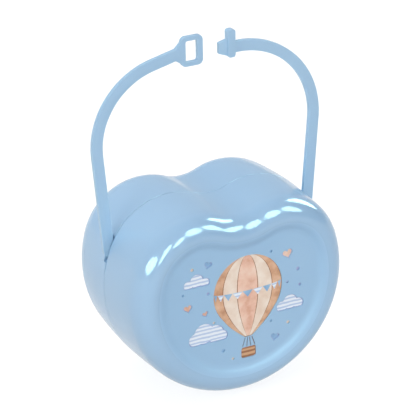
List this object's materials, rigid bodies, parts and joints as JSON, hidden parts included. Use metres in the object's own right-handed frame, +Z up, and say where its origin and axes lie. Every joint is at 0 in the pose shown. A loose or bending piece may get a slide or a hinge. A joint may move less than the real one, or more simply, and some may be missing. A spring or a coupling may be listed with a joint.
{
  "type": "pacifier sterilizer case",
  "caption": "Lobed, heart-shaped soother case of hinged shells with a recessed front panel, a drain tray inside and carrying straps that hook together.",
  "frame": {"origin": "middle of the flat foot, on the plane where the two shells meet to within a millimetre", "axes": "X is the width, +Y points to the back, +Z points up"},
  "size_m": [0.0927, 0.056, 0.1337],
  "materials": {
    "case_plastic": "glossy moulded polypropylene",
    "strap_plastic": "glossy moulded polypropylene",
    "tray_plastic": "satin moulded polypropylene",
    "pin_steel": "drawn stainless wire"
  },
  "bodies": {
    "rear_case": {"rear_shell": "case_plastic", "hinge_pin": "pin_steel", "soother_tray": "tray_plastic"},
    "front_cover": {"front_shell": "case_plastic"},
    "loop_band": {"loop_strap": "strap_plastic"},
    "hook_band": {"hook_strap": "strap_plastic"}
  },
  "joints": [
    {"name": "cover_hinge", "type": "hinge", "parent": "rear_case", "child": "front_cover", "pos_m": [0, 0, 0.0024], "axis": [1, 0, 0], "range_deg": [0, 115]},
    {"name": "loop_strap_flex", "type": "hinge", "parent": "rear_case", "child": "loop_band", "pos_m": [-0.0376, 0.00085, 0.0523], "axis": [0, 1, 0], "range_deg": [-5, 2], "stiffness_Nm_per_rad": 0.8},
    {"name": "hook_strap_flex", "type": "hinge", "parent": "rear_case", "child": "hook_band", "pos_m": [0.0376, 0.00085, 0.0523], "axis": [0, -1, 0], "range_deg": [-5, 2], "stiffness_Nm_per_rad": 0.8}
  ]
}
